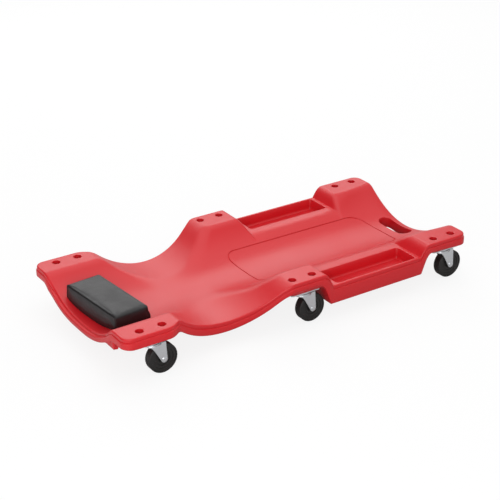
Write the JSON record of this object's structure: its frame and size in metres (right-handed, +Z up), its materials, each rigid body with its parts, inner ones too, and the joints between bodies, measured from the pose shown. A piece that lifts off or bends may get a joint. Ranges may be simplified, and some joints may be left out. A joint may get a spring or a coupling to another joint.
{
  "type": "mechanic creeper",
  "caption": "Low rolling board for lying under a vehicle: a dished blow-moulded bed with tool trays, a carry slot and a padded headrest, on swivel casters.",
  "frame": {"origin": "on the floor, under the middle of the board", "axes": "+X from the head end to the foot end, +Y to the left of someone lying on their back, +Z up"},
  "size_m": [1.02, 0.472, 0.129],
  "materials": {
    "red_plastic": "satin, blow-moulded",
    "black_vinyl": "matt vinyl cover over foam",
    "plywood": "raw",
    "zinc": "bright zinc plate on pressed steel",
    "bearing_steel": "polished",
    "black_plastic": "satin"
  },
  "bodies": {
    "bed": {"board": "red_plastic", "headrest_base": "plywood", "headrest_pad": "black_vinyl", "headrest_screws": "zinc", "caster_bolts": "zinc", "caster_washers": "zinc", "caster_nuts": "zinc", "plate_head_left": "zinc", "king_pin_head_left": "zinc", "balls_head_left": "bearing_steel", "plate_head_right": "zinc", "king_pin_head_right": "zinc", "balls_head_right": "bearing_steel", "plate_middle_left": "zinc", "king_pin_middle_left": "zinc", "balls_middle_left": "bearing_steel", "plate_middle_right": "zinc", "king_pin_middle_right": "zinc", "balls_middle_right": "bearing_steel", "plate_foot_left": "zinc", "king_pin_foot_left": "zinc", "balls_foot_left": "bearing_steel", "plate_foot_right": "zinc", "king_pin_foot_right": "zinc", "balls_foot_right": "bearing_steel"},
    "caster_head_left": {"fork_head_left": "zinc", "axle_head_left": "zinc"},
    "roller_head_left": {"wheel_head_left": "black_plastic", "bush_head_left": "zinc"},
    "caster_head_right": {"fork_head_right": "zinc", "axle_head_right": "zinc"},
    "roller_head_right": {"wheel_head_right": "black_plastic", "bush_head_right": "zinc"},
    "caster_middle_left": {"fork_middle_left": "zinc", "axle_middle_left": "zinc"},
    "roller_middle_left": {"wheel_middle_left": "black_plastic", "bush_middle_left": "zinc"},
    "caster_middle_right": {"fork_middle_right": "zinc", "axle_middle_right": "zinc"},
    "roller_middle_right": {"wheel_middle_right": "black_plastic", "bush_middle_right": "zinc"},
    "caster_foot_left": {"fork_foot_left": "zinc", "axle_foot_left": "zinc"},
    "roller_foot_left": {"wheel_foot_left": "black_plastic", "bush_foot_left": "zinc"},
    "caster_foot_right": {"fork_foot_right": "zinc", "axle_foot_right": "zinc"},
    "roller_foot_right": {"wheel_foot_right": "black_plastic", "bush_foot_right": "zinc"}
  },
  "joints": [
    {"name": "swivel_head_left", "type": "hinge", "parent": "bed", "child": "caster_head_left", "pos_m": [-0.428, 0.209, 0.083], "axis": [0, 0, 1], "continuous": true},
    {"name": "swivel_head_right", "type": "hinge", "parent": "bed", "child": "caster_head_right", "pos_m": [-0.428, -0.209, 0.083], "axis": [0, 0, 1], "continuous": true},
    {"name": "swivel_middle_left", "type": "hinge", "parent": "bed", "child": "caster_middle_left", "pos_m": [-0.007, 0.209, 0.088], "axis": [0, 0, 1], "continuous": true},
    {"name": "swivel_middle_right", "type": "hinge", "parent": "bed", "child": "caster_middle_right", "pos_m": [-0.007, -0.209, 0.088], "axis": [0, 0, 1], "continuous": true},
    {"name": "swivel_foot_left", "type": "hinge", "parent": "bed", "child": "caster_foot_left", "pos_m": [0.441, 0.209, 0.083], "axis": [0, 0, 1], "continuous": true},
    {"name": "swivel_foot_right", "type": "hinge", "parent": "bed", "child": "caster_foot_right", "pos_m": [0.441, -0.209, 0.083], "axis": [0, 0, 1], "continuous": true},
    {"name": "roll_head_left", "type": "hinge", "parent": "caster_head_left", "child": "roller_head_left", "pos_m": [-0.403, 0.209, 0.0375], "axis": [0, 1, 0], "continuous": true},
    {"name": "roll_head_right", "type": "hinge", "parent": "caster_head_right", "child": "roller_head_right", "pos_m": [-0.403, -0.209, 0.0375], "axis": [0, 1, 0], "continuous": true},
    {"name": "roll_middle_left", "type": "hinge", "parent": "caster_middle_left", "child": "roller_middle_left", "pos_m": [0.018, 0.209, 0.0425], "axis": [0, 1, 0], "continuous": true},
    {"name": "roll_middle_right", "type": "hinge", "parent": "caster_middle_right", "child": "roller_middle_right", "pos_m": [0.018, -0.209, 0.0425], "axis": [0, 1, 0], "continuous": true},
    {"name": "roll_foot_left", "type": "hinge", "parent": "caster_foot_left", "child": "roller_foot_left", "pos_m": [0.466, 0.209, 0.0375], "axis": [0, 1, 0], "continuous": true},
    {"name": "roll_foot_right", "type": "hinge", "parent": "caster_foot_right", "child": "roller_foot_right", "pos_m": [0.466, -0.209, 0.0375], "axis": [0, 1, 0], "continuous": true}
  ]
}
